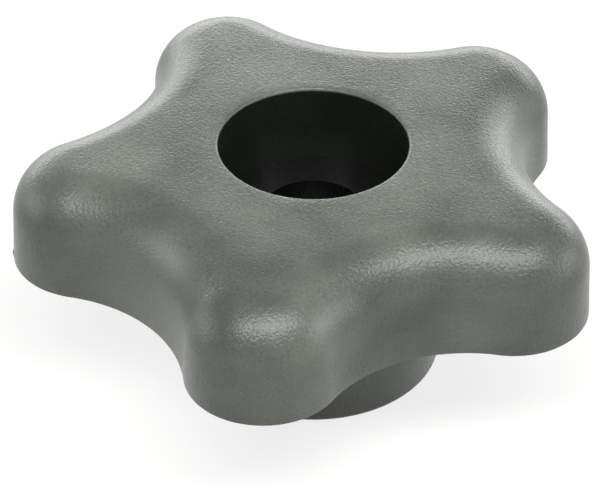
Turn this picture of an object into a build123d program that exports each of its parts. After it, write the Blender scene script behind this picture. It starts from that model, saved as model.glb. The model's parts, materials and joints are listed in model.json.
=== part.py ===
from build123d import *
from math import atan2, cos, degrees, hypot, radians, sin, sqrt, tan
import os

# Star knob: a five-lobed hand knob of glass-filled nylon, moulded round a steel hex nut.
# Millimetres, +Z up. The origin is the centre of the hub's lower face, the face that is
# screwed down, and one lobe points along -Y. Round shapes are drawn on planes turned to that
# lobe, so their seams run along the middle of it.

# --- driving dimensions: head ---
lobe_count = 5
first_lobe = -90.0          # degrees from +X, direction of the lobe that the seams follow
knob_diameter = 50.0        # over the lobe tips, at the head's lower edge
lobe_radius = 6.4           # plan radius of each lobe
valley_radius = 12.6        # plan radius of the finger hollow between two lobes
head_height = 10.0          # lower edge to the middle of the crown
crown_drop = 1.0            # fall of the domed top from the middle to the tips
edge_radius = 4.9           # roll of the top edge
side_draft = 2.0            # degrees, so that the sides leave the upper half of the mould

# --- driving dimensions: underside ---
wall = 2.4                  # sides and top of the cored head
rib_thickness = 2.0         # at the open end
rib_setback = 1.0           # from the head's lower edge up to the ribs
core_corner_radius = 0.8    # corners of the hollows, at ribs, hub and top wall
core_draft = 1.0            # degrees, on the ribs

# --- driving dimensions: hub ---
hub_height = 11.0           # seat face to the head's lower edge
hub_diameter = 21.4         # at the seat face
hub_draft = 1.0             # degrees, widening upwards
hub_edge_radius = 0.5       # round the seat face

# --- driving dimensions: recess over the stud ---
recess_diameter = 15.7
recess_depth = 7.0
recess_rim_radius = 0.25
stud_diameter = 8.0
stud_clearance = 0.5        # on the diameter, above the nut

# --- driving dimensions: M8 hex nut ---
nut_flats = 13.0            # across flats
nut_height = 6.5
nut_bore = 6.65             # thread's minor diameter
nut_countersink = 8.6       # mouth of each end of the bore
nut_countersink_angle = 90.0
nut_face_diameter = 12.4    # flat ring left by the corner chamfer
nut_chamfer_angle = 30.0    # degrees

# --- worked out from the dimensions above ---
knob_radius = knob_diameter / 2
hub_radius = hub_diameter / 2
overall_height = hub_height + head_height
lobe_pitch = 360 / lobe_count
lobe_centre = knob_radius - lobe_radius                       # radius of the lobes' centres
half_pitch = radians(lobe_pitch / 2)
centre_distance = lobe_radius + valley_radius                 # tangent arcs
valley_centre = lobe_centre * cos(half_pitch) + sqrt(
    centre_distance**2 - (lobe_centre * sin(half_pitch)) ** 2
)
# turn of the outline from a lobe's tip to the point where the lobe arc meets the valley arc
lobe_half_turn = degrees(
    atan2(valley_centre * sin(half_pitch), valley_centre * cos(half_pitch) - lobe_centre)
)
waist_radius = valley_centre - valley_radius                  # axis to the bottom of a valley
crown_radius = (knob_radius**2 + crown_drop**2) / (2 * crown_drop)
crown_half_turn = degrees(2 * atan2(crown_drop, knob_radius))  # from the middle to the tips
lobe_plane = Plane.XY.rotated((0, 0, first_lobe))             # its X runs out along the first lobe
section_plane = Plane.XZ.rotated((0, 0, first_lobe))          # upright, through the same lobe


def star_outline(inset):
    """Closed outline of tangent arcs, a lobe and a valley in turn, drawn in by an inset.

    The first lobe lies along the sketch's X."""
    valley_half_turn = lobe_half_turn - lobe_pitch / 2
    with BuildSketch() as star:
        with BuildLine():
            for lobe in range(lobe_count):
                lobe_angle = lobe * lobe_pitch
                valley_angle = lobe_angle + lobe_pitch / 2
                CenterArc(
                    Vector(lobe_centre, 0).rotate(Axis.Z, lobe_angle),
                    lobe_radius - inset,
                    lobe_angle - lobe_half_turn,
                    2 * lobe_half_turn,
                )
                CenterArc(
                    Vector(valley_centre, 0).rotate(Axis.Z, valley_angle),
                    valley_radius + inset,
                    valley_angle + 180 - valley_half_turn,
                    2 * valley_half_turn,
                )
        make_face()
    return star.sketch


def head_form(inset):
    """The head's outer form, or the same form with every side and the top drawn in."""
    with BuildPart() as form:
        with BuildSketch(lobe_plane.offset(hub_height)):
            add(star_outline(inset))
        extrude(amount=head_height, taper=side_draft)
        # the domed top: what lies under a shallow arc turned about the knob's axis
        with BuildSketch(section_plane):
            with BuildLine():
                crown = CenterArc(
                    (0, overall_height - crown_radius), crown_radius - inset, 90, -2 * crown_half_turn
                )
                Polyline(crown @ 1, ((crown @ 1).X, 0), (0, 0), crown @ 0)
            make_face()
        revolve(axis=Axis.Z, mode=Mode.INTERSECT)
        fillet(form.faces().sort_by(Axis.Z)[-1].edges(), edge_radius - inset)
    return form.part


# --- hex nut: zinc-plated steel, moulded in, flush with the seat face ---
with BuildPart() as nut_blank:
    with BuildSketch():
        RegularPolygon(nut_flats / 2, 6, major_radius=False)
    extrude(amount=nut_height)
    # the corners are turned off at both ends, leaving a round flat face
    corner_radius = nut_flats / 2 / cos(radians(180 / 6))
    chamfer_height = (corner_radius - nut_face_diameter / 2) * tan(radians(nut_chamfer_angle))
    with BuildSketch(Plane.XZ):
        with BuildLine():
            Polyline(
                (0, 0),
                (nut_face_diameter / 2, 0),
                (corner_radius, chamfer_height),
                (corner_radius, nut_height - chamfer_height),
                (nut_face_diameter / 2, nut_height),
                (0, nut_height),
                close=True,
            )
        make_face()
    revolve(axis=Axis.Z, mode=Mode.INTERSECT)

with BuildPart() as hex_nut:
    add(nut_blank.part)
    with Locations((0, 0, nut_height)):
        CounterSinkHole(nut_bore / 2, nut_countersink / 2, counter_sink_angle=nut_countersink_angle)
    with Locations(Location((0, 0, 0), (180, 0, 0))):
        CounterSinkHole(nut_bore / 2, nut_countersink / 2, counter_sink_angle=nut_countersink_angle)
hex_nut.part.label = "hex_nut"

# --- rib: a tapered web from the knob's axis outwards, thicker at its root in the top wall ---
with BuildPart() as rib:
    rib_foot = hub_height + rib_setback
    rib_spread = head_height * tan(radians(core_draft))
    with BuildSketch(Plane.YZ):
        with BuildLine():
            Polyline(
                (-rib_thickness / 2, rib_foot),
                (rib_thickness / 2, rib_foot),
                (rib_thickness / 2 + rib_spread, rib_foot + head_height),
                (-rib_thickness / 2 - rib_spread, rib_foot + head_height),
                close=True,
            )
        make_face()
    extrude(amount=knob_radius)

# --- lobe cores: the space that the mould's lower half leaves hollow in each lobe ---
with BuildPart() as lobe_cores:
    add(head_form(wall))
    # the hub runs on up to the top wall
    with BuildSketch(lobe_plane):
        Circle(hub_radius)
    extrude(amount=overall_height, taper=-hub_draft, mode=Mode.SUBTRACT)
    # a rib behind each valley ties the hub to the side wall
    with PolarLocations(0, lobe_count, start_angle=first_lobe + lobe_pitch / 2):
        add(rib.part, mode=Mode.SUBTRACT)
    # the corners round the upright faces left by hub and ribs, above the ribs' feet
    hub_and_rib_faces = lobe_cores.faces().filter_by(
        lambda face: abs(face.normal_at().Z) < cos(radians(45))
        and hypot(face.center().X, face.center().Y) < waist_radius - wall
    )
    fillet(
        hub_and_rib_faces.edges().filter_by(lambda edge: edge.center().Z > rib_foot + wall / 2),
        core_corner_radius,
    )

# --- knob body: nylon with glass fibre, moulded in one piece ---
with BuildPart() as knob_body:
    with BuildSketch(lobe_plane):
        Circle(hub_radius)
    extrude(amount=hub_height, taper=-hub_draft)
    fillet(knob_body.faces().sort_by(Axis.Z)[0].edges(), hub_edge_radius)
    add(head_form(0))
    add(lobe_cores.part, mode=Mode.SUBTRACT)
    with Locations((0, 0, overall_height)):
        CounterBoreHole((stud_diameter + stud_clearance) / 2, recess_diameter / 2, recess_depth)
    # of the edges that the stepped hole made, the highest is its rim
    fillet(knob_body.edges(Select.LAST).sort_by(Axis.Z)[-1], recess_rim_radius)
    add(nut_blank.part, mode=Mode.SUBTRACT)
knob_body.part.label = "knob_body"

os.makedirs("parts", exist_ok=True)
export_step(knob_body.part, "parts/knob_body.step")
export_step(hex_nut.part, "parts/hex_nut.step")
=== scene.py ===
import json
import math

import bmesh
import bpy
import numpy as np
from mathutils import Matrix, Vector


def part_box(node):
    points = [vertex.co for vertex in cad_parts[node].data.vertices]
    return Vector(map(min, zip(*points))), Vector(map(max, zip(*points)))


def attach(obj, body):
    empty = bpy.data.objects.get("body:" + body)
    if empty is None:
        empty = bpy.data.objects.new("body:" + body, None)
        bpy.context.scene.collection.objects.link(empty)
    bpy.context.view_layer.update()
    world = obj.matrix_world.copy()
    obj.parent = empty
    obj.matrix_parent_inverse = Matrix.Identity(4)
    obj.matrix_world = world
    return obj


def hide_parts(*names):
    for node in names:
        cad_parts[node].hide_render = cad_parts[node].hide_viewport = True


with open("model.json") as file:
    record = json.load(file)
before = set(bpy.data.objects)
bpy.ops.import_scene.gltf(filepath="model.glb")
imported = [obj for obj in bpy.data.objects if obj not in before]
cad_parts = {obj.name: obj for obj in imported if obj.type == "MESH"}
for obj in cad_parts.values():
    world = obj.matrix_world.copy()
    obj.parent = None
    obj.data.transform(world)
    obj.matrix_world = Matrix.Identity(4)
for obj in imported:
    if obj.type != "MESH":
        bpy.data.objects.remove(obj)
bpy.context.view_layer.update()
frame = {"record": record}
MM = 0.001


# --- Hex nut -----------------------------------------------------------------------------------
# The M8 nut that the stud screws into. Cold-forged steel, tapped and bright zinc plated, laid in
# the mould so that the nylon flows round it. Its lower face stays level with the seat.

NUT_SEGMENTS = 144            # round the axis, so that each corner falls on a segment
THREAD_PITCH = 1.25
THREAD_MAJOR_RADIUS = 4.0
THREAD_RINGS_PER_TURN = 18
THREAD_CREST_SHARE = 0.25     # flat top of the thread, as a share of the pitch
NUT_FACE_RADIUS = 6.2         # flat ring inside the corner chamfers
NUT_MOUTH_RADIUS = 4.3        # countersink of the bore, 45 degrees to the axis
NUT_CHAMFER = math.radians(30)
CLOUD_SIZE = 1.5              # patches in the zinc
WELD = 0.001                  # distance at which the sheets of a piece are joined
SHARP_EDGE = math.radians(25)  # a fold above this shows as an edge

nut_low, nut_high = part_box("hex_nut")
nut_height = (nut_high.z - nut_low.z) / MM
nut_half_flats = nut_high.y / MM
mounts = {mount["name"]: mount for mount in frame["record"]["mounts"]}
thread_minor_radius = mounts["thread"]["dims"]["r_mm"]


def linear(hex_colour):
    """A colour written as sRGB hex, as the linear RGBA that a shader takes."""
    channels = [int(hex_colour[i : i + 2], 16) / 255 for i in (1, 3, 5)]
    return [c / 12.92 if c <= 0.04045 else ((c + 0.055) / 1.055) ** 2.4 for c in channels] + [1]


def add_node(tree, kind, inputs=(), **settings):
    """Adds a node with its settings, sets or links its inputs, and returns its first output.

    The inputs are given by name or number, or else as a tuple in the order of the sockets."""
    node = tree.nodes.new(kind)
    for name, value in settings.items():
        setattr(node, name, value)
    keyed = inputs if isinstance(inputs, dict) else dict(enumerate(inputs))
    for key, value in keyed.items():
        if isinstance(value, bpy.types.NodeSocket):
            tree.links.new(value, node.inputs[key])
        else:
            node.inputs[key].default_value = value
    return node.outputs[0] if len(node.outputs) else node


def new_material(name):
    """A node material with nothing in it yet."""
    material = bpy.data.materials.new(name)
    material.use_nodes = True
    material.node_tree.nodes.clear()
    return material, material.node_tree


def new_mesh_object(name, points, faces, finishes=None, edges=()):
    """A mesh object from points in millimetres, with a finish number on each face if given."""
    mesh = bpy.data.meshes.new(name)
    mesh.from_pydata([tuple(p) for p in np.asarray(points) * MM], edges, faces)
    if finishes is not None:
        attribute = mesh.attributes.new("finish", "INT", "FACE")
        attribute.data.foreach_set("value", np.asarray(finishes, dtype=np.int32))
    obj = bpy.data.objects.new(name, mesh)
    bpy.context.scene.collection.objects.link(obj)
    return obj


def ring_faces(first, rings, stations, closed=True, inwards=False):
    """Quads between rings of vertices that follow each other in the vertex list."""
    faces = []
    for ring in range(rings - 1):
        for i in range(stations if closed else stations - 1):
            a = first + ring * stations + i
            b = first + ring * stations + (i + 1) % stations
            quad = (a, b, b + stations, a + stations)
            faces.append(quad[::-1] if inwards else quad)
    return faces


def nut_outside(angle):
    """Radius and height of the nut's outside at each angle, from its lower to its upper face."""
    flats = nut_half_flats / np.cos(angle % (np.pi / 3) - np.pi / 6)
    chamfer = (flats - NUT_FACE_RADIUS) * math.tan(NUT_CHAMFER)
    face = np.full_like(flats, NUT_FACE_RADIUS)
    return [(face, 0), (flats, chamfer), (flats, nut_height - chamfer), (face, nut_height)]


def stack_rings(angle, rings):
    """Points in millimetres for rings that are given as a radius and a height at each angle."""
    return np.concatenate(
        [np.stack([r * np.cos(angle), r * np.sin(angle), z + 0 * angle], axis=1) for r, z in rings]
    )


def node_group(name, sizes):
    """A Geometry Nodes tree with a geometry input and output and one named input for each size."""
    tree = bpy.data.node_groups.new(name, "GeometryNodeTree")
    tree.interface.new_socket("Geometry", in_out="INPUT", socket_type="NodeSocketGeometry")
    for label, (kind, _) in sizes.items():
        tree.interface.new_socket(label, in_out="INPUT", socket_type=kind)
    tree.interface.new_socket("Geometry", in_out="OUTPUT", socket_type="NodeSocketGeometry")
    return tree, tree.nodes.new("NodeGroupInput").outputs


def finish_group(tree, geometry, materials):
    """Ends a tree with Realize Instances and one Set Material for each finish number."""
    geometry = add_node(tree, "GeometryNodeRealizeInstances", {0: geometry})
    finish = add_node(tree, "GeometryNodeInputNamedAttribute", {0: "finish"}, data_type="INT")
    for number, material in enumerate(materials):
        chosen = add_node(
            tree, "FunctionNodeCompare", {2: finish, 3: number}, data_type="INT", operation="EQUAL"
        )
        geometry = add_node(
            tree,
            "GeometryNodeSetMaterial",
            {"Geometry": geometry, "Selection": chosen, "Material": material},
        )
    add_node(tree, "NodeGroupOutput", {0: geometry})


def run_group(obj, tree, sizes, sharp_angle):
    """Runs a tree on an object, keeps the result as its plain mesh and marks sharp edges."""
    modifier = obj.modifiers.new(tree.name, "NODES")
    modifier.node_group = tree
    sockets = {s.name: s.identifier for s in tree.interface.items_tree if s.in_out == "INPUT"}
    for label, (_, value) in sizes.items():
        modifier[sockets[label]] = value
    evaluated = obj.evaluated_get(bpy.context.evaluated_depsgraph_get())
    mesh = bpy.data.meshes.new_from_object(evaluated)
    obj.modifiers.remove(modifier)
    obj.data = mesh
    mesh.name = obj.name
    work = bmesh.new()
    work.from_mesh(mesh)
    bmesh.ops.recalc_face_normals(work, faces=work.faces)
    work.to_mesh(mesh)
    work.free()
    mesh.set_sharp_from_angle(angle=sharp_angle)


# Bright zinc over forged steel: a cool, fairly mirror-like grey with faint cloudy patches.
zinc_plate, tree = new_material("bright_zinc_plate")
place = add_node(tree, "ShaderNodeTexCoord").node.outputs["Object"]
clouds = add_node(
    tree, "ShaderNodeTexNoise", {"Vector": place, "Scale": 1 / (CLOUD_SIZE * MM), "Detail": 3.0}
)
tint = add_node(
    tree,
    "ShaderNodeMix",
    {"Factor": clouds, 6: linear("#b9bec4"), 7: linear("#d4d6d6")},
    data_type="RGBA",
).node.outputs[2]
gloss = add_node(tree, "ShaderNodeMapRange", {"Value": clouds, "To Min": 0.24, "To Max": 0.38})
steel = add_node(
    tree, "ShaderNodeBsdfPrincipled", {"Base Color": tint, "Roughness": gloss, "Metallic": 1.0}
)
add_node(tree, "ShaderNodeOutputMaterial", {"Surface": steel})

# The bore is a sheet that is bent round the axis. Its radius follows the thread and opens into
# the countersinks at both ends.
nut_sizes = {
    "Pitch": ("NodeSocketFloat", THREAD_PITCH * MM),
    "Minor Radius": ("NodeSocketFloat", thread_minor_radius * MM),
    "Major Radius": ("NodeSocketFloat", THREAD_MAJOR_RADIUS * MM),
    "Mouth Radius": ("NodeSocketFloat", NUT_MOUTH_RADIUS * MM),
    "Height": ("NodeSocketFloat", nut_height * MM),
    "Crest Share": ("NodeSocketFloat", THREAD_CREST_SHARE),
    "Segments": ("NodeSocketInt", NUT_SEGMENTS),
    "Rings": ("NodeSocketInt", round(nut_height / THREAD_PITCH * THREAD_RINGS_PER_TURN)),
}
tree, size = node_group("tapped_bore", nut_sizes)

corners = add_node(tree, "ShaderNodeMath", (size["Segments"], 1.0), operation="ADD")
sheet = add_node(
    tree,
    "GeometryNodeMeshGrid",
    {"Size X": 1.0, "Size Y": 1.0, "Vertices X": corners, "Vertices Y": size["Rings"]},
)
position = add_node(tree, "GeometryNodeInputPosition")
on_sheet = add_node(tree, "ShaderNodeSeparateXYZ", (position,)).node.outputs
turn = add_node(tree, "ShaderNodeMath", (on_sheet["X"], 0.5), operation="ADD")
climb = add_node(tree, "ShaderNodeMath", (on_sheet["Y"], 0.5), operation="ADD")
height = add_node(tree, "ShaderNodeMath", (climb, size["Height"]), operation="MULTIPLY")

# thread: a wave that climbs one pitch in each turn, cut off flat at its crest, and at its root
# half as wide
pitches = add_node(tree, "ShaderNodeMath", (height, size["Pitch"]), operation="DIVIDE")
phase = add_node(tree, "ShaderNodeMath", (pitches, turn), operation="SUBTRACT")
half_wave = add_node(tree, "ShaderNodeMath", (phase, 0.5), operation="PINGPONG")
wave = add_node(tree, "ShaderNodeMath", (half_wave, 2.0), operation="MULTIPLY")
flank = add_node(tree, "ShaderNodeMath", (wave, size["Crest Share"]), operation="SUBTRACT")
both_flats = add_node(tree, "ShaderNodeMath", (size["Crest Share"], 1.5), operation="MULTIPLY")
slope = add_node(tree, "ShaderNodeMath", (1.0, both_flats), operation="SUBTRACT")
rise = add_node(tree, "ShaderNodeMath", (flank, slope), operation="DIVIDE")
depth = add_node(tree, "ShaderNodeClamp", {"Value": rise})
full_depth = add_node(
    tree, "ShaderNodeMath", (size["Major Radius"], size["Minor Radius"]), operation="SUBTRACT"
)
thread = add_node(
    tree, "ShaderNodeMath", (depth, full_depth, size["Minor Radius"]), operation="MULTIPLY_ADD"
)

# countersinks: a 45 degree cone at each end, wherever it is wider than the thread
to_top = add_node(tree, "ShaderNodeMath", (size["Height"], height), operation="SUBTRACT")
lower_cone = add_node(tree, "ShaderNodeMath", (size["Mouth Radius"], height), operation="SUBTRACT")
upper_cone = add_node(tree, "ShaderNodeMath", (size["Mouth Radius"], to_top), operation="SUBTRACT")
radius = add_node(tree, "ShaderNodeMath", (thread, lower_cone), operation="MAXIMUM")
radius = add_node(tree, "ShaderNodeMath", (radius, upper_cone), operation="MAXIMUM")

# the sheet bent round the axis
angle = add_node(tree, "ShaderNodeMath", (turn, math.tau), operation="MULTIPLY")
cosine = add_node(tree, "ShaderNodeMath", (angle,), operation="COSINE")
sine = add_node(tree, "ShaderNodeMath", (angle,), operation="SINE")
sideways = add_node(tree, "ShaderNodeMath", (radius, cosine), operation="MULTIPLY")
onwards = add_node(tree, "ShaderNodeMath", (radius, sine), operation="MULTIPLY")
bent = add_node(tree, "ShaderNodeCombineXYZ", (sideways, onwards, height))
bore = add_node(tree, "GeometryNodeSetPosition", {"Geometry": sheet, "Position": bent})
whole = add_node(tree, "GeometryNodeJoinGeometry", {0: bore})
tree.links.new(size["Geometry"], whole.node.inputs[0])
welded = add_node(tree, "GeometryNodeMergeByDistance", {"Geometry": whole, "Distance": WELD * MM})
smooth = add_node(tree, "GeometryNodeSetShadeSmooth", {0: welded})
finish_group(tree, smooth, [zinc_plate])

angles = np.linspace(0, math.tau, NUT_SEGMENTS, endpoint=False)
mouth = np.full_like(angles, NUT_MOUTH_RADIUS)
nut_rings = [(mouth, 0), *nut_outside(angles), (mouth, nut_height)]
nut = new_mesh_object(
    "tapped_hex_nut",
    stack_rings(angles, nut_rings),
    ring_faces(0, len(nut_rings), NUT_SEGMENTS),
)
run_group(nut, tree, nut_sizes, SHARP_EDGE)
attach(nut, "root")
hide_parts("hex_nut")


# --- Knob moulding -----------------------------------------------------------------------------
# Head, hub, ribs and lobes in one shot of nylon with glass fibre. The cavity above the parting
# edge is spark-eroded and leaves a grain, a polished pin forms the recess and the stud hole, and
# a plain machined core leaves the lobes hollow, with an ejector pin in each.

LOBES = 5
FIRST_LOBE = math.radians(-90)
LOBE_RADIUS = 6.4
VALLEY_RADIUS = 12.6
HUB_HEIGHT = 11.0             # seat to the head's lower edge
CROWN_DROP = 1.0
EDGE_ROLL = 4.9
SIDE_DRAFT = math.radians(2)
LOWER_EDGE = 0.14             # slight round on the head's lower edge
WALL = 2.4
RIB_HALF = 1.0
RIB_SETBACK = 1.0
CORE_DRAFT = math.radians(1)
CORE_CORNER = 0.8
HUB_RADIUS = 10.7
HUB_DRAFT = math.radians(1)
HUB_EDGE = 0.5
RIM_RADIUS = 0.25
RECESS_FLOOR = 14.0
EJECTOR_PLACE = 15.5          # from the axis, along the lobe
EJECTOR_RADIUS = 1.5
EJECTOR_STEP = 0.1            # the pin's face stands proud of the ceiling
FLOW_SIZE = 9.0               # drift of lighter and darker nylon along the flow
TINT_SPREAD = (0.45, 1.05)    # where the noise of grain and flow together mostly lies
PIT_SPREAD = (0.3, 0.7)       # where the noise of the grain alone mostly lies

# steps round half a lobe: its tip, the flank of the valley, and the valley's bottom
TIP_STEPS, FLANK_STEPS, WAIST_STEPS = 30, 24, 6
HALF_STATIONS = TIP_STEPS + FLANK_STEPS + WAIST_STEPS
CORNER_STATION = 44           # where the hollow's corner touches the hub
CORNER_STEPS = 6              # round each corner of the hollow
RIB_STEPS = 8
SETTLING_ROUNDS = 8           # of the search for the height of a rolled edge
WALL_RINGS = 4
EDGE_RINGS = 26               # round the rolled edge, outside
CROWN_RINGS = 12
HOLLOW_EDGE_RINGS = 9         # round the rolled edge, inside
CEILING_RINGS = 5
LOWER_EDGE_RINGS = 4
RIM_RINGS = 6
SEAT_EDGE_RINGS = 7

body_low, body_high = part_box("knob_body")
knob_radius = -body_low.y / MM
recess_radius = mounts["recess"]["dims"]["r_mm"]
stud_radius = mounts["stud_hole"]["dims"]["r_mm"]
crown_radius = (knob_radius**2 + CROWN_DROP**2) / (2 * CROWN_DROP)
crown_rise = math.sqrt(crown_radius**2 - (recess_radius + RIM_RADIUS) ** 2)
crown_centre = body_high.z / MM - crown_rise
half_pitch = math.pi / LOBES
lobe_centre = knob_radius - LOBE_RADIUS
valley_centre = lobe_centre * math.cos(half_pitch) + math.sqrt(
    (LOBE_RADIUS + VALLEY_RADIUS) ** 2 - (lobe_centre * math.sin(half_pitch)) ** 2
)
lobe_turn = math.atan2(
    valley_centre * math.sin(half_pitch), valley_centre * math.cos(half_pitch) - lobe_centre
)
OVER_AXIS = np.array([1, -1])                                 # to the lobe's other half
GRAINED, POLISHED, CORE, PIN_END_PAINTED_SHADE = range(4)                   # finish numbers


def mirrored(points):
    """One lobe's share from the half above its axis: the lower half mirrored, then the upper."""
    return np.concatenate([points[:0:-1] * OVER_AXIS, points])


def outline():
    """Points and outward normals of the star outline, over one lobe from valley to valley."""
    hollow_corner = RIB_HALF + CORE_CORNER
    corner = math.asin(hollow_corner / (VALLEY_RADIUS + WALL + CORE_CORNER))
    lobe = np.linspace(0, lobe_turn, TIP_STEPS + 1)
    flank = np.linspace(lobe_turn, half_pitch + corner, FLANK_STEPS + 1)[1:]
    waist = np.linspace(half_pitch + corner, half_pitch, WAIST_STEPS + 1)[1:]
    turn = np.concatenate([lobe, flank, waist])
    normal = np.stack([np.cos(turn), np.sin(turn)], axis=1)
    centre = valley_centre * np.array([math.cos(half_pitch), math.sin(half_pitch)])
    point = np.where(
        (np.arange(len(turn)) < len(lobe))[:, None],
        [lobe_centre, 0] + LOBE_RADIUS * normal,
        centre - VALLEY_RADIUS * normal,
    )
    return mirrored(point), mirrored(normal)


def domed_form(point, normal, foot, draft, roll, sphere, wall_rings, roll_rings):
    """Rings up a drafted wall and round a rolled edge that ends level with a domed top.

    Foot is the height of the wall's lower end and sphere the radius of the dome."""
    centre_z = crown_centre + sphere - roll
    for _ in range(SETTLING_ROUNDS):
        inset = (centre_z - foot) * np.tan(draft) + roll / np.cos(draft)
        centre = point - normal * inset[:, None]
        centre_z = crown_centre + np.sqrt((sphere - roll) ** 2 - (centre**2).sum(axis=1))
    side = np.column_stack([normal * np.cos(draft)[:, None], np.sin(draft)])
    up = np.column_stack([centre, centre_z - crown_centre]) / (sphere - roll)[:, None]
    ball = np.column_stack([centre, centre_z])
    start = ball + roll[:, None] * side
    base = np.column_stack([point, np.full(len(point), foot)])
    rings = [base + (start - base) * t for t in np.linspace(0, 1, wall_rings, endpoint=False)]
    spread = np.arccos(np.clip((side * up).sum(axis=1), -1, 1))[:, None]
    for t in np.linspace(0, 1, roll_rings):
        way = (np.sin((1 - t) * spread) * side + np.sin(t * spread) * up) / np.sin(spread)
        rings.append(ball + roll[:, None] * way)
    return rings


def dome_rings(outer, inner_plan, sphere, count):
    """Rings on the dome from one ring to another that is given in plan, without the first."""
    rings = []
    for t in np.linspace(0, 1, count + 1)[1:]:
        plan = outer[:, :2] + (inner_plan - outer[:, :2]) * t
        rise = np.sqrt(sphere**2 - (plan**2).sum(axis=1))
        rings.append(np.column_stack([plan, crown_centre + rise]))
    return rings


class Sheets:
    """Collects the sheets of faces that make one lobe's share of the moulding."""

    def __init__(self):
        self.points, self.faces, self.finishes, self.count = [], [], [], 0

    def add_rings(self, rings, finish, closed=False, inwards=False):
        """A sheet over a list of rings."""
        faces = ring_faces(self.count, len(rings), len(rings[0]), closed, inwards)
        self.add_faces(np.concatenate(rings), faces, finish)

    def add_faces(self, points, faces, finish):
        """Points and faces. The faces' numbers go on from the points that are there already."""
        self.points.append(np.asarray(points))
        self.faces += faces
        self.finishes += [finish] * len(faces)
        self.count += len(points)


def level(plan, height):
    """Plan points at one height."""
    return np.column_stack([plan, np.full(len(plan), float(height))])


def circle(radius, height):
    """One lobe's share of a circle round the knob's axis."""
    angle = np.linspace(-half_pitch, half_pitch, 2 * HALF_STATIONS + 1)
    return level(radius * np.column_stack([np.cos(angle), np.sin(angle)]), height)


share = Sheets()
edge, edge_normal = outline()
stations = len(edge)
every = np.ones(stations)
crown = crown_radius * every

# outside of the head: lower edge, drafted side, rolled edge and crown, then the recess
skin = domed_form(
    edge,
    edge_normal,
    HUB_HEIGHT,
    SIDE_DRAFT * every,
    EDGE_ROLL * every,
    crown,
    WALL_RINGS,
    EDGE_RINGS,
)
underside_edge = level(edge - edge_normal * LOWER_EDGE, HUB_HEIGHT)
lower_round = [
    np.column_stack(
        [
            edge - edge_normal * LOWER_EDGE * (1 - math.cos(turn)),
            np.full(stations, HUB_HEIGHT + LOWER_EDGE * (1 - math.sin(turn))),
        ]
    )
    for turn in np.linspace(math.pi / 2, 0, LOWER_EDGE_RINGS)
]
rim_outer = circle(recess_radius + RIM_RADIUS, 0)[:, :2]
skin = lower_round + skin[1:]
skin += dome_rings(skin[-1], rim_outer, crown, CROWN_RINGS)
rim_height = skin[-1][0, 2]
share.add_rings(skin, GRAINED)
rim = [
    circle(
        recess_radius + RIM_RADIUS * (1 - math.sin(turn)),
        rim_height - RIM_RADIUS * (1 - math.cos(turn)),
    )
    for turn in np.linspace(0, math.pi / 2, RIM_RINGS)
]
share.add_rings(rim, GRAINED)
recess_foot = circle(recess_radius, RECESS_FLOOR)
share.add_rings([circle(recess_radius, rim_height - RIM_RADIUS), recess_foot], POLISHED)
stud_hole = [circle(stud_radius, RECESS_FLOOR), circle(stud_radius, nut_height)]
# the recess floor and the stud hole, painted darker as shade
share.add_rings([recess_foot, *stud_hole], PIN_END_PAINTED_SHADE)

# hub: from the ribs' feet down its drafted side to the seat
foot_height = HUB_HEIGHT + RIB_SETBACK


def hub_radius(height):
    """Radius of the drafted hub at a height."""
    return HUB_RADIUS + height * math.tan(HUB_DRAFT)


seat_edge = hub_radius(HUB_EDGE) - HUB_EDGE / math.cos(HUB_DRAFT)
hub = [circle(hub_radius(foot_height), foot_height), circle(hub_radius(HUB_HEIGHT), HUB_HEIGHT)]
for turn in np.linspace(-HUB_DRAFT, -math.pi / 2, SEAT_EDGE_RINGS):
    hub.append(circle(seat_edge + HUB_EDGE * math.cos(turn), HUB_EDGE * (1 + math.sin(turn))))
hub.append(circle(NUT_FACE_RADIUS, 0))
share.add_rings(hub[::-1], GRAINED)

# head's lower rim, and its inner wall up to the ribs' feet
wall_foot = edge - edge_normal * WALL
inner_edge = wall_foot - edge_normal * RIB_SETBACK * math.tan(SIDE_DRAFT)
share.add_rings(
    [underside_edge, level(wall_foot, HUB_HEIGHT), level(inner_edge, foot_height)],
    CORE,
    inwards=True,
)

# the hollow's outline in plan: side wall, corner, rib, corner, hub, and back the same way
ray = np.array([math.cos(half_pitch), math.sin(half_pitch)])
across_ray = np.array([ray[1], -ray[0]])
wall_end = HALF_STATIONS - WAIST_STEPS                        # station of the outer corner
side = slice(HALF_STATIONS, HALF_STATIONS + wall_end + 1)
side_point, side_normal = inner_edge[side], edge_normal[side]
hub_turn = half_pitch * (1 - CORNER_STATION / HALF_STATIONS)
hub_foot = hub_radius(foot_height)
hub_corner = (hub_foot * math.sin(hub_turn) - RIB_HALF) / (1 - math.sin(hub_turn))
reach = side_point[-1] @ across_ray
wall_corner = (reach - RIB_HALF) / (1 + side_normal[-1] @ across_ray)
outer_centre = side_point[-1] - side_normal[-1] * wall_corner
inner_centre = (hub_foot + hub_corner) * np.array(
    [math.cos(half_pitch - hub_turn), math.sin(half_pitch - hub_turn)]
)


def arc(centre, radius, start, end, steps):
    """Points of an arc in plan and the directions from its centre."""
    turn = np.linspace(start, end, steps + 1)
    way = np.stack([np.cos(turn), np.sin(turn)], axis=1)
    return centre + radius * way, way


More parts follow.
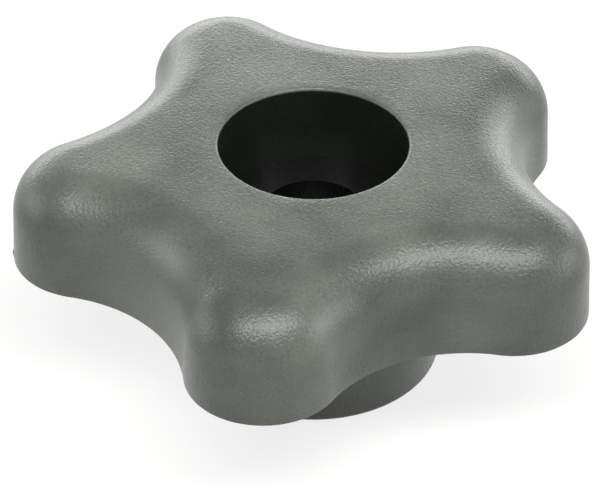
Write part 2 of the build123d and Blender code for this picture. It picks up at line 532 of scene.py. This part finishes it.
# the corners turn from the side wall to the rib and from the rib to the hub
rib_way = math.atan2(-across_ray[1], -across_ray[0])
wall_way = math.atan2(side_normal[-1][1], side_normal[-1][0])
hub_way = half_pitch - hub_turn + math.pi
outer_point, outer_normal = arc(outer_centre, wall_corner, wall_way, rib_way, CORNER_STEPS)
inner_point, inner_normal = arc(inner_centre, hub_corner, rib_way, hub_way, CORNER_STEPS)
rib_steps = np.linspace(0, 1, RIB_STEPS + 1)[1:-1, None]
rib_point = outer_point[-1] + (inner_point[0] - outer_point[-1]) * rib_steps
rib_normal = np.repeat(-across_ray[None], len(rib_point), axis=0)
hub_arc = np.linspace(half_pitch - hub_turn, 0, CORNER_STATION + 1)[1:]
hub_point = hub_foot * np.stack([np.cos(hub_arc), np.sin(hub_arc)], axis=1)
half_point = np.concatenate([side_point, outer_point[1:], rib_point, inner_point, hub_point])
half_normal = np.concatenate(
    [side_normal, outer_normal[1:], rib_normal, inner_normal, -hub_point / hub_foot]
)

# roll and draft of the inner wall run down to the rib's towards the corner between them
to_corner = np.cumsum(np.linalg.norm(np.diff(side_point, axis=0), axis=1))
to_corner = to_corner[-1] - np.concatenate([[0], to_corner])
wall_roll = EDGE_ROLL - WALL
fade = np.clip(to_corner / (2 * wall_roll), 0, 1)
fade = fade**2 * (3 - 2 * fade)
others = len(half_point) - len(side_point)
half_roll = np.concatenate(
    [CORE_CORNER + (wall_roll - CORE_CORNER) * fade, np.full(others, CORE_CORNER)]
)
half_draft = np.concatenate(
    [CORE_DRAFT + (SIDE_DRAFT - CORE_DRAFT) * fade, np.full(others, CORE_DRAFT)]
)


def whole_loop(half, sign):
    """A closed loop from its upper half, whose first and last points lie on the lobe's axis."""
    return np.concatenate([half, (half * sign)[-2:0:-1]])


loop, loop_normal = whole_loop(half_point, OVER_AXIS), whole_loop(half_normal, OVER_AXIS)
loop_roll, loop_draft = whole_loop(half_roll, 1), whole_loop(half_draft, 1)
ceiling = np.full(len(loop), crown_radius - WALL)
hollow = domed_form(
    loop,
    loop_normal,
    foot_height,
    loop_draft,
    loop_roll,
    ceiling,
    WALL_RINGS,
    HOLLOW_EDGE_RINGS,
)
pin_centre = np.array([EJECTOR_PLACE, 0.0])
from_pin = hollow[-1][:, :2] - pin_centre
pin_plan = pin_centre + EJECTOR_RADIUS * from_pin / np.linalg.norm(from_pin, axis=1)[:, None]
hollow += dome_rings(hollow[-1], pin_plan, ceiling, CEILING_RINGS)
pin_height = hollow[-1][:, 2].min() - EJECTOR_STEP
hollow.append(level(pin_plan, pin_height))
share.add_rings(hollow, CORE, closed=True, inwards=True)
last_ring = range(share.count - len(loop), share.count)
share.add_faces(np.empty((0, 3)), [tuple(last_ring)[::-1]], CORE)

# the rib's foot, split down its middle between two lobes
waist = inner_edge[HALF_STATIONS + wall_end :]
hub_side = circle(hub_foot, 0)[HALF_STATIONS + CORNER_STATION :, :2]
rib_start = len(side_point)
rib_end = rib_start + CORNER_STEPS + len(rib_point) + CORNER_STEPS
rib_outline = half_point[rib_start:rib_end]
foot_outline = np.concatenate([waist, hub_side[::-1], rib_outline[::-1]])
for sign, order in ((1, -1), (-1, 1)):
    foot = level(foot_outline * [1, sign], foot_height)
    share.add_faces(foot, [tuple(share.count + i for i in range(len(foot)))[::order]], CORE)

# the pocket in the hub has the nut's own outside, up to the stud hole above it
pocket_angle = FIRST_LOBE + np.linspace(0, math.tau, 2 * LOBES * HALF_STATIONS, endpoint=False)
pocket_rings = [*nut_outside(pocket_angle), (np.full_like(pocket_angle, stud_radius), nut_height)]
pocket = new_mesh_object(
    "nut_pocket",
    stack_rings(pocket_angle, pocket_rings),
    ring_faces(0, len(pocket_rings), len(pocket_angle), inwards=True),
    [CORE] * ((len(pocket_rings) - 1) * len(pocket_angle)),
)


def nylon(name, colours, roughness, grain, grain_depth):
    """Glass-filled nylon in the two colours given, with a grain of a size in mm, such as one face
    of the mould leaves.
    """
    material, tree = new_material(name)
    place = add_node(tree, "ShaderNodeTexCoord").node.outputs["Object"]
    pits = add_node(
        tree,
        "ShaderNodeTexNoise",
        {"Vector": place, "Scale": 1 / (grain * MM), "Detail": 2.5, "Roughness": 0.6},
    )
    flow = add_node(
        tree, "ShaderNodeTexNoise", {"Vector": place, "Scale": 1 / (FLOW_SIZE * MM), "Detail": 2.0}
    )
    blend = add_node(tree, "ShaderNodeMath", (pits, flow, flow), operation="MULTIPLY_ADD")
    lightness = add_node(
        tree,
        "ShaderNodeMapRange",
        {"Value": blend, "From Min": TINT_SPREAD[0], "From Max": TINT_SPREAD[1]},
    )
    tint = add_node(
        tree,
        "ShaderNodeMix",
        {"Factor": lightness, 6: linear(colours[0]), 7: linear(colours[1])},
        data_type="RGBA",
    ).node.outputs[2]
    gloss = add_node(
        tree,
        "ShaderNodeMapRange",
        {
            "Value": pits,
            "From Min": PIT_SPREAD[0],
            "From Max": PIT_SPREAD[1],
            "To Min": roughness[0],
            "To Max": roughness[1],
        },
    )
    bump = add_node(
        tree, "ShaderNodeBump", {"Height": pits, "Distance": grain_depth * MM, "Strength": 1.0}
    )
    surface = add_node(
        tree,
        "ShaderNodeBsdfPrincipled",
        {"Base Color": tint, "Roughness": gloss, "Normal": bump, "IOR": 1.53},
    )
    add_node(tree, "ShaderNodeOutputMaterial", {"Surface": surface})
    return material


# Spark-eroded faces: an even grain that breaks highlights into short sparkling streaks. It is
# drawn at 0.25 mm, a little coarser than the real one, so that it shows. The nylon is near-black:
# the mid-grey of these faces is painted sheen, the grey that the grain shows in bright light.
spark_eroded_painted_sheen = nylon("spark_eroded_nylon", ("#484d48", "#6c7169"), (0.26, 0.38), 0.25, 0.055)
# Faces of the polished pin: the plastic's own near-black, smooth enough for clear highlights.
pin_polished = nylon("pin_polished_nylon", ("#181c18", "#20241f"), (0.2, 0.28), 0.5, 0.006)
# The pin's end face and its tip: the same polish, painted a darker black than the recess wall
# as the shade deep in the recess.
pin_end_painted_shade = nylon("pin_end_nylon", ("#080a08", "#0d0f0c"), (0.25, 0.35), 0.5, 0.006)
# Faces of the plain machined core: flatter and duller than the outside, with hardly any grain.
# Their grey, lighter than the near-black nylon, is painted sheen, a little less than outside.
core_side_painted_sheen = nylon("core_side_nylon", ("#40453f", "#555a54"), (0.45, 0.55), 0.6, 0.012)

lobe_sizes = {
    "Nut Pocket": ("NodeSocketObject", pocket),
    "Lobes": ("NodeSocketInt", LOBES),
    "First Lobe": ("NodeSocketFloat", FIRST_LOBE),
    "Weld Distance": ("NodeSocketFloat", WELD * MM),
}
tree, size = node_group("lobes_round_the_hub", lobe_sizes)
copies = add_node(tree, "GeometryNodeMeshLine", {"Count": size["Lobes"], "Offset": (0, 0, 0)})
number = add_node(tree, "GeometryNodeInputIndex")
pitch = add_node(tree, "ShaderNodeMath", (math.tau, size["Lobes"]), operation="DIVIDE")
bearing = add_node(
    tree, "ShaderNodeMath", (number, pitch, size["First Lobe"]), operation="MULTIPLY_ADD"
)
turned = add_node(tree, "ShaderNodeCombineXYZ", {"Z": bearing})
ring = add_node(
    tree,
    "GeometryNodeInstanceOnPoints",
    {"Points": copies, "Instance": size["Geometry"], "Rotation": turned},
)
around_nut = add_node(tree, "GeometryNodeObjectInfo", {0: size["Nut Pocket"]})
ring = add_node(tree, "GeometryNodeRealizeInstances", {0: ring})
whole = add_node(tree, "GeometryNodeJoinGeometry", {0: ring})
tree.links.new(around_nut.node.outputs["Geometry"], whole.node.inputs[0])
welded = add_node(
    tree, "GeometryNodeMergeByDistance", {"Geometry": whole, "Distance": size["Weld Distance"]}
)
smooth = add_node(tree, "GeometryNodeSetShadeSmooth", {0: welded})
finish_group(tree, smooth, [spark_eroded_painted_sheen, pin_polished, core_side_painted_sheen, pin_end_painted_shade])

moulding = new_mesh_object(
    "knob_moulding", np.concatenate(share.points), share.faces, share.finishes
)
run_group(moulding, tree, lobe_sizes, SHARP_EDGE)
bpy.data.objects.remove(pocket)
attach(moulding, "root")
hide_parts("knob_body")


# --- Mould flash -------------------------------------------------------------------------------
# A hair of nylon squeezed out where the two halves of the mould meet, all round the head's lower
# edge. It was scraped by hand, so it is uneven, and one flake is left near the tip of a lobe.

FLASH_RADIUS = 0.07
FLASH_UNEVEN = 0.6            # share of the radius that comes and goes
FLASH_LUMP = 3.0              # usual length of a thick or thin stretch, in millimetres
FLASH_SEED = 7.0
FLAKE_BEARING = math.radians(192.4)
FLAKE_REACH = 0.12            # out from the edge
FLAKE_LENGTH = 0.5            # from its middle to where it has mostly died away
BEAD_SIDES = 8
BEAD_SHARP_EDGE = math.radians(60)

flash_path, flash_normal = [], []
for lobe in range(LOBES):
    bearing = FIRST_LOBE + 2 * half_pitch * lobe
    along = [math.cos(bearing), math.sin(bearing)]
    turned = np.array([along, [-along[1], along[0]]])
    flash_path.append(edge[:-1] @ turned)
    flash_normal.append(edge_normal[:-1] @ turned)
flash_path, flash_normal = np.concatenate(flash_path), np.concatenate(flash_normal)
flake_way = np.array([math.cos(FLAKE_BEARING), math.sin(FLAKE_BEARING)])
flake_lobe = FIRST_LOBE + 2 * half_pitch * round((FLAKE_BEARING - FIRST_LOBE) / (2 * half_pitch))
flake_place = lobe_centre * np.array([math.cos(flake_lobe), math.sin(flake_lobe)])
flake_place = flake_place + LOBE_RADIUS * flake_way
from_flake = np.linalg.norm(flash_path - flake_place, axis=1) / FLAKE_LENGTH
stand_out = FLAKE_REACH * np.exp(-(from_flake**2)) - FLASH_RADIUS
flash_path = flash_path + flash_normal * stand_out[:, None]

flash_sizes = {
    "Radius": ("NodeSocketFloat", FLASH_RADIUS * MM),
    "Unevenness": ("NodeSocketFloat", FLASH_UNEVEN),
    "Lumps per Metre": ("NodeSocketFloat", 1 / (FLASH_LUMP * MM)),
    "Seed": ("NodeSocketFloat", FLASH_SEED),
}
tree, size = node_group("flash_along_the_edge", flash_sizes)
curve = add_node(tree, "GeometryNodeMeshToCurve", {0: size["Geometry"]})
lumps = add_node(
    tree,
    "ShaderNodeTexNoise",
    {"W": size["Seed"], "Scale": size["Lumps per Metre"], "Detail": 3.0},
    noise_dimensions="4D",
)
centred = add_node(tree, "ShaderNodeMath", (lumps, 0.5), operation="SUBTRACT")
most = add_node(tree, "ShaderNodeMath", (size["Unevenness"], 2.0), operation="MULTIPLY")
uneven = add_node(tree, "ShaderNodeMath", (centred, most), operation="MULTIPLY")
thinned = add_node(tree, "ShaderNodeMath", (uneven,), operation="ABSOLUTE")
left = add_node(tree, "ShaderNodeMath", (1.0, thinned), operation="SUBTRACT")
thickness = add_node(tree, "ShaderNodeMath", (size["Radius"], left), operation="MULTIPLY")
bead = add_node(
    tree, "GeometryNodeCurvePrimitiveCircle", {"Resolution": BEAD_SIDES, "Radius": 1.0}
)
swept = add_node(
    tree,
    "GeometryNodeCurveToMesh",
    {"Curve": curve, "Profile Curve": bead, "Scale": thickness},
)
smooth = add_node(tree, "GeometryNodeSetShadeSmooth", {0: swept})
finish_group(tree, smooth, [spark_eroded_painted_sheen])

count = len(flash_path)
flash = new_mesh_object(
    "mould_flash",
    level(flash_path, HUB_HEIGHT + FLASH_RADIUS),
    [],
    edges=[(i, (i + 1) % count) for i in range(count)],
)
run_group(flash, tree, flash_sizes, BEAD_SHARP_EDGE)
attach(flash, "root")


# --- Studio ------------------------------------------------------------------------------------
# A white board in a white room. One large softbox hangs over the front of the knob, a wide one
# stands behind it, and a weaker one at each side.

VIEW_AZIMUTH = math.radians(12.424)
VIEW_ELEVATION = math.radians(36.635)
VIEW_DISTANCE = 290.155
VIEW_LENS = 207.527           # millimetres, on a 36 mm wide sensor
VIEW_CENTRE = (-1.1, 9.719)   # sideways and up from the seat, in millimetres
FLOOR_HALF = 2000.0
FLOOR_LEVEL = -0.03           # a hair below the seat, so that the two don't mix
ROOM_FILL = 0.08              # light of the room on matt surfaces
ROOM_MIRRORED = 0.55          # brightness of the room in glossy surfaces, where 1 is white
BOARD_WHITENESS = 0.8         # made up to white near the knob
BOARD_NEAR = 80.0             # from the axis to where the board starts to turn full white
BOARD_FAR = 250.0             # and to where it is full white

# azimuth and elevation in degrees, distance, width and depth in millimetres, and watts
SOFTBOXES = {
    "softbox_overhead": (22, 64, 420, 560, 150, 2.3),
    "softbox_behind": (192, 11, 600, 1300, 180, 3.4),
    "softbox_left": (-85, 14, 600, 400, 260, 0.8),
    "softbox_right": (105, 14, 600, 400, 260, 1.0),
}


def view_direction(azimuth, elevation):
    """From the knob outwards. Azimuth 0 is in front, along -Y."""
    return Vector(
        (
            math.sin(azimuth) * math.cos(elevation),
            -math.cos(azimuth) * math.cos(elevation),
            math.sin(elevation),
        )
    )


def soft_light(name, azimuth, elevation, distance, width, depth, power):
    """A rectangular softbox that faces the knob. Distances are in millimetres."""
    lamp = bpy.data.lights.new(name, "AREA")
    lamp.shape = "RECTANGLE"
    lamp.size, lamp.size_y, lamp.energy = width * MM, depth * MM, power
    obj = bpy.data.objects.new(name, lamp)
    way = view_direction(math.radians(azimuth), math.radians(elevation))
    obj.location = way * distance * MM
    obj.rotation_euler = way.to_track_quat("Z", "Y").to_euler()
    bpy.context.scene.collection.objects.link(obj)


def seen_by_eye(tree, rays):
    """One for rays that the eye follows, straight or by way of a mirror or glass, else zero."""
    seen = add_node(
        tree, "ShaderNodeMath", (rays["Is Camera Ray"], rays["Is Glossy Ray"]), operation="MAXIMUM"
    )
    return add_node(
        tree, "ShaderNodeMath", (seen, rays["Is Transmission Ray"]), operation="MAXIMUM"
    )


for name, setting in SOFTBOXES.items():
    soft_light(name, *setting)

world = bpy.data.worlds.new("white_room")
bpy.context.scene.world = world
world.use_nodes = True
tree = world.node_tree
tree.nodes.clear()
rays = add_node(tree, "ShaderNodeLightPath").node.outputs
seen = seen_by_eye(tree, rays)
strength = add_node(
    tree, "ShaderNodeMapRange", {"Value": seen, "To Min": ROOM_FILL, "To Max": 1.0}
)
strength = add_node(
    tree,
    "ShaderNodeMath",
    (rays["Is Glossy Ray"], ROOM_MIRRORED - 1.0, strength),
    operation="MULTIPLY_ADD",
)
light = add_node(
    tree, "ShaderNodeBackground", {"Color": (1.0, 1.0, 1.0, 1.0), "Strength": strength}
)
add_node(tree, "ShaderNodeOutputWorld", {"Surface": light})

# Matt white board. What it sends back is made up to white for the eye, but not in the knob's
# shadow, and further out it runs into the white of the room.
board, tree = new_material("white_board")
place = add_node(tree, "ShaderNodeTexCoord").node.outputs["Object"]
away = add_node(tree, "ShaderNodeVectorMath", {0: place}, operation="LENGTH").node.outputs["Value"]
made_up = add_node(
    tree,
    "ShaderNodeMapRange",
    {
        "Value": away,
        "From Min": BOARD_NEAR * MM,
        "From Max": BOARD_FAR * MM,
        "To Min": BOARD_WHITENESS,
        "To Max": 1.0,
    },
)
seen = seen_by_eye(tree, add_node(tree, "ShaderNodeLightPath").node.outputs)
shown = add_node(tree, "ShaderNodeMath", (seen, made_up), operation="MULTIPLY")
matt = add_node(tree, "ShaderNodeBsdfDiffuse", {"Color": linear("#868684")})
glow = add_node(tree, "ShaderNodeEmission", {"Color": (1.0, 1.0, 1.0, 1.0), "Strength": shown})
both = add_node(tree, "ShaderNodeAddShader", {0: matt, 1: glow})
add_node(tree, "ShaderNodeOutputMaterial", {"Surface": both})
floor_corners = FLOOR_HALF * np.array([(-1, -1), (1, -1), (1, 1), (-1, 1)])
floor = new_mesh_object("floor", level(floor_corners, FLOOR_LEVEL), [(0, 1, 2, 3)])
floor.data.materials.append(board)

camera = bpy.data.objects.new("camera", bpy.data.cameras.new("camera"))
camera.data.sensor_width = 36.0
camera.data.lens = VIEW_LENS
camera.data.clip_start, camera.data.clip_end = 0.01, 20
towards = view_direction(VIEW_AZIMUTH, VIEW_ELEVATION)
rightwards = Vector((math.cos(VIEW_AZIMUTH), math.sin(VIEW_AZIMUTH), 0))
aim = (rightwards * VIEW_CENTRE[0] + Vector((0, 0, VIEW_CENTRE[1]))) * MM
camera.location = aim + towards * VIEW_DISTANCE * MM
camera.rotation_euler = towards.to_track_quat("Z", "Y").to_euler()
bpy.context.scene.collection.objects.link(camera)
bpy.context.scene.camera = camera
bpy.context.scene.view_settings.view_transform = "Standard"
